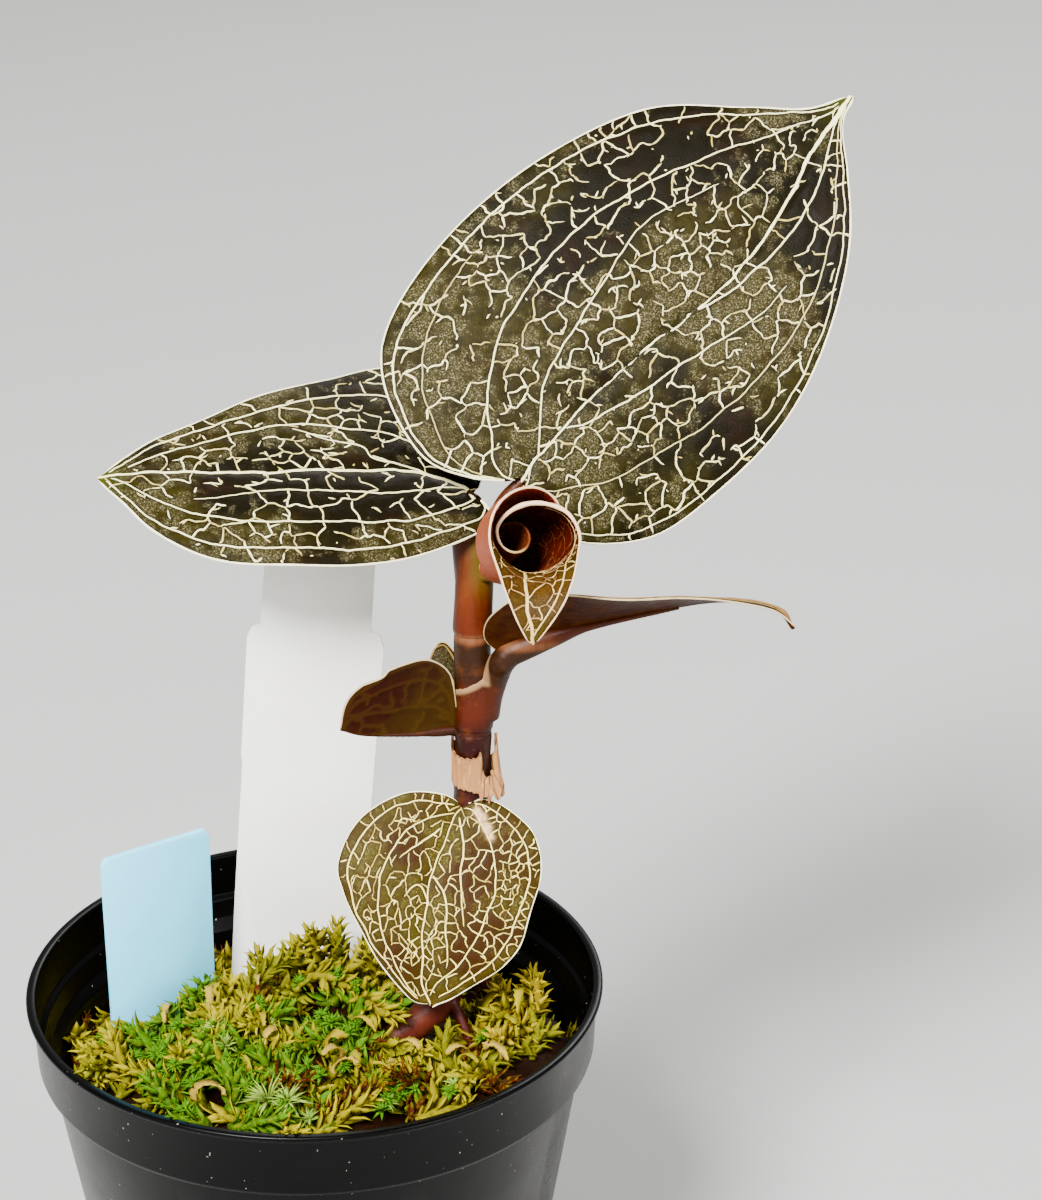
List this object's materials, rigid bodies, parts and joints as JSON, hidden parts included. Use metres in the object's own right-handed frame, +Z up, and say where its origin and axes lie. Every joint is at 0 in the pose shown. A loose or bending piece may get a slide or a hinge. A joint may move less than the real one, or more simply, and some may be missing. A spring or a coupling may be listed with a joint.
{
  "type": "jewel orchid in a pot",
  "caption": "Potted jewel orchid: short sheathed stem with veined dark leaves and a rolled young leaf, in a small round black pot of moss with plain plant labels.",
  "frame": {"origin": "centre of the pot's base, on the surface it stands on", "axes": "+Z up, +X to the right and -Y towards the viewer of the plant's front"},
  "size_m": [0.1063, 0.075, 0.174],
  "materials": {
    "black_pot": "glossy black thin-walled nursery pot",
    "moss": "damp sphagnum moss, yellow olive with green heads and straw bits",
    "stem": "fleshy maroon-brown stem with pale node rings",
    "leaf": "dark velvety olive blade with cream-gold veins, brown underneath",
    "dry_sheath": "dry torn papery sheath, beige pink",
    "white_label": "plain warm-white plastic plant label",
    "blue_label": "plain pale blue plastic plant label",
    "young_leaf": "young blade, salmon-pink back and olive face with gold veins",
    "pale_leaf": "oldest blade, light olive with cream net and a dry patch"
  },
  "bodies": {
    "root": {"pot": "black_pot", "moss_bed": "moss", "stem": "stem", "leaf_big": "leaf", "leaf_left": "leaf", "leaf_rolled": "young_leaf", "leaf_right": "leaf", "leaf_fold": "leaf", "leaf_round": "pale_leaf", "dry_sheath": "dry_sheath", "label_white": "white_label", "label_blue": "blue_label"}
  },
  "joints": []
}
